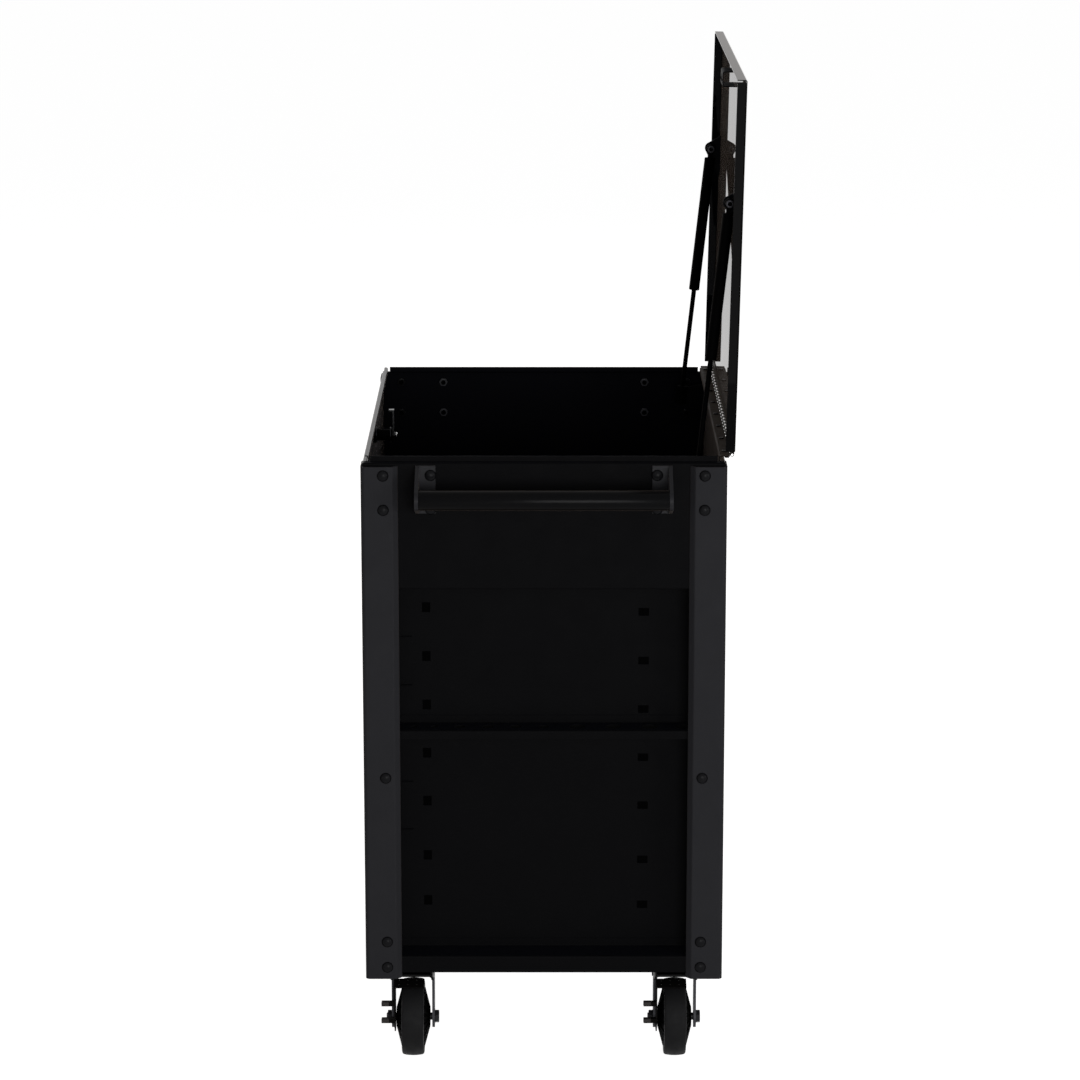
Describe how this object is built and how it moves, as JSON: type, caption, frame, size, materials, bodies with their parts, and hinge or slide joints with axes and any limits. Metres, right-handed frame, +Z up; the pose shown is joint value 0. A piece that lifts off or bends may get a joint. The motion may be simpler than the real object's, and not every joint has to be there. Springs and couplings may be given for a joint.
{
  "type": "rolling tool chest",
  "caption": "Black sheet-steel rolling tool chest with a flip-top till on gas struts, drawers, an open side pocket with a holed shelf, push handles and braked casters.",
  "frame": {"origin": "on the floor under the middle of the bounding box with the lid open", "axes": "+Z up, +X out of the end with the open side pocket, -Y out of the drawer fronts"},
  "size_m": [0.9186, 0.5992, 1.6014],
  "materials": {
    "post_paint": "satin powder coat",
    "body_paint": "semi-gloss powder coat",
    "lid_paint": "glossy powder coat",
    "drawer_paint": "semi-gloss powder coat",
    "slide_dark": "dark zinc plated",
    "fastener_black": "black oxide",
    "handle_paint": "glossy powder coat",
    "hinge_steel": "zinc plated",
    "bracket_paint": "satin powder coat",
    "strut_paint": "semi-gloss black",
    "rod_black": "black nitride",
    "fork_black": "black zinc plated",
    "brake_steel": "dark zinc plated",
    "wheel_rubber": "matt"
  },
  "bodies": {
    "cabinet": {"back_panel": "body_paint", "base_rails": "body_paint", "bottom_pan": "body_paint", "cabinet_slides": "slide_dark", "caster_bolts": "fork_black", "drawer_rails": "body_paint", "front_left_post": "post_paint", "front_right_post": "post_paint", "front_rigid_fork": "fork_black", "front_wall": "body_paint", "handle_bolts": "fastener_black", "hinge_lower_leaf": "hinge_steel", "hinge_pin": "hinge_steel", "hinge_screws": "hinge_steel", "left_end_wall": "body_paint", "left_handle_brackets": "handle_paint", "left_handle_tube": "handle_paint", "left_partition": "body_paint", "left_side_panel": "body_paint", "lock_body": "rod_black", "post_bolts": "fastener_black", "rear_left_post": "post_paint", "rear_right_post": "post_paint", "rear_rigid_fork": "fork_black", "right_end_wall": "body_paint", "right_handle_brackets": "handle_paint", "right_handle_tube": "handle_paint", "right_partition": "body_paint", "rigid_axles": "fork_black", "side_shelf": "body_paint", "side_tray": "body_paint", "strut_wall_brackets": "bracket_paint", "swivel_plates": "fork_black", "till_floor": "body_paint"},
    "lid": {"lid_pan": "lid_paint", "hinge_upper_leaf": "hinge_steel", "lid_strike": "bracket_paint", "lid_strut_brackets": "bracket_paint", "right_strut_tube": "strut_paint", "left_strut_tube": "strut_paint"},
    "right_rod": {"right_strut_rod": "rod_black"},
    "left_rod": {"left_strut_rod": "rod_black"},
    "lock": {"lock_cam": "rod_black"},
    "drawer_1_body": {"drawer_1": "drawer_paint"},
    "drawer_2_body": {"drawer_2": "drawer_paint"},
    "drawer_3_body": {"drawer_3": "drawer_paint"},
    "drawer_4_body": {"drawer_4": "drawer_paint"},
    "drawer_5_body": {"drawer_5": "drawer_paint"},
    "drawer_6_body": {"drawer_6": "drawer_paint"},
    "front_rigid_roller": {"front_rigid_wheel": "wheel_rubber"},
    "front_brake": {"front_brake_lever": "brake_steel"},
    "front_swivel": {"front_swivel_fork": "fork_black", "front_swivel_axle": "fork_black"},
    "front_swivel_roller": {"front_swivel_wheel": "wheel_rubber"},
    "rear_rigid_roller": {"rear_rigid_wheel": "wheel_rubber"},
    "rear_brake": {"rear_brake_lever": "brake_steel"},
    "rear_swivel": {"rear_swivel_fork": "fork_black", "rear_swivel_axle": "fork_black"},
    "rear_swivel_roller": {"rear_swivel_wheel": "wheel_rubber"}
  },
  "joints": [
    {"name": "lid_hinge", "type": "hinge", "parent": "cabinet", "child": "lid", "pos_m": [0, 0.28286, 1.015], "axis": [1, 0, 0], "range_deg": [0, 91.2]},
    {"name": "right_strut_slide", "type": "slide", "parent": "lid", "child": "right_rod", "axis": [0, 0.1091, 0.994], "range_m": [0, 0.10252]},
    {"name": "left_strut_slide", "type": "slide", "parent": "lid", "child": "left_rod", "axis": [0, 0.1091, 0.994], "range_m": [0, 0.10252]},
    {"name": "lock_turn", "type": "hinge", "parent": "cabinet", "child": "lock", "pos_m": [0, -0.29714, 0.968], "axis": [0, 1, 0], "range_deg": [0, 25]},
    {"name": "drawer_1_slide", "type": "slide", "parent": "cabinet", "child": "drawer_1_body", "axis": [0, -1, 0], "range_m": [0, 0.43]},
    {"name": "drawer_2_slide", "type": "slide", "parent": "cabinet", "child": "drawer_2_body", "axis": [0, -1, 0], "range_m": [0, 0.43]},
    {"name": "drawer_3_slide", "type": "slide", "parent": "cabinet", "child": "drawer_3_body", "axis": [0, -1, 0], "range_m": [0, 0.43]},
    {"name": "drawer_4_slide", "type": "slide", "parent": "cabinet", "child": "drawer_4_body", "axis": [0, -1, 0], "range_m": [0, 0.43]},
    {"name": "drawer_5_slide", "type": "slide", "parent": "cabinet", "child": "drawer_5_body", "axis": [0, -1, 0], "range_m": [0, 0.43]},
    {"name": "drawer_6_slide", "type": "slide", "parent": "cabinet", "child": "drawer_6_body", "axis": [0, -1, 0], "range_m": [0, 0.43]},
    {"name": "front_rigid_wheel_spin", "type": "hinge", "parent": "cabinet", "child": "front_rigid_roller", "pos_m": [0.33, -0.22564, 0.0635], "axis": [0, 1, 0], "continuous": true},
    {"name": "front_brake_pivot", "type": "hinge", "parent": "cabinet", "child": "front_brake", "pos_m": [0.3245, -0.22564, 0.137], "axis": [0, 1, 0], "range_deg": [0, 3.8]},
    {"name": "front_swivel_turn", "type": "hinge", "parent": "cabinet", "child": "front_swivel", "pos_m": [-0.33, -0.22564, 0.153], "axis": [0, 0, 1], "continuous": true},
    {"name": "front_swivel_wheel_spin", "type": "hinge", "parent": "front_swivel", "child": "front_swivel_roller", "pos_m": [-0.295, -0.22564, 0.0635], "axis": [0, 1, 0], "continuous": true},
    {"name": "rear_rigid_wheel_spin", "type": "hinge", "parent": "cabinet", "child": "rear_rigid_roller", "pos_m": [0.33, 0.20136, 0.0635], "axis": [0, 1, 0], "continuous": true},
    {"name": "rear_brake_pivot", "type": "hinge", "parent": "cabinet", "child": "rear_brake", "pos_m": [0.3245, 0.20136, 0.137], "axis": [0, 1, 0], "range_deg": [0, 3.8]},
    {"name": "rear_swivel_turn", "type": "hinge", "parent": "cabinet", "child": "rear_swivel", "pos_m": [-0.33, 0.20136, 0.153], "axis": [0, 0, 1], "continuous": true},
    {"name": "rear_swivel_wheel_spin", "type": "hinge", "parent": "rear_swivel", "child": "rear_swivel_roller", "pos_m": [-0.295, 0.20136, 0.0635], "axis": [0, 1, 0], "continuous": true}
  ],
  "couplings": [
    {"joint": "right_strut_slide", "follows": "lid_hinge", "m_per_rad": 0.064091},
    {"joint": "left_strut_slide", "follows": "lid_hinge", "m_per_rad": 0.064091}
  ]
}
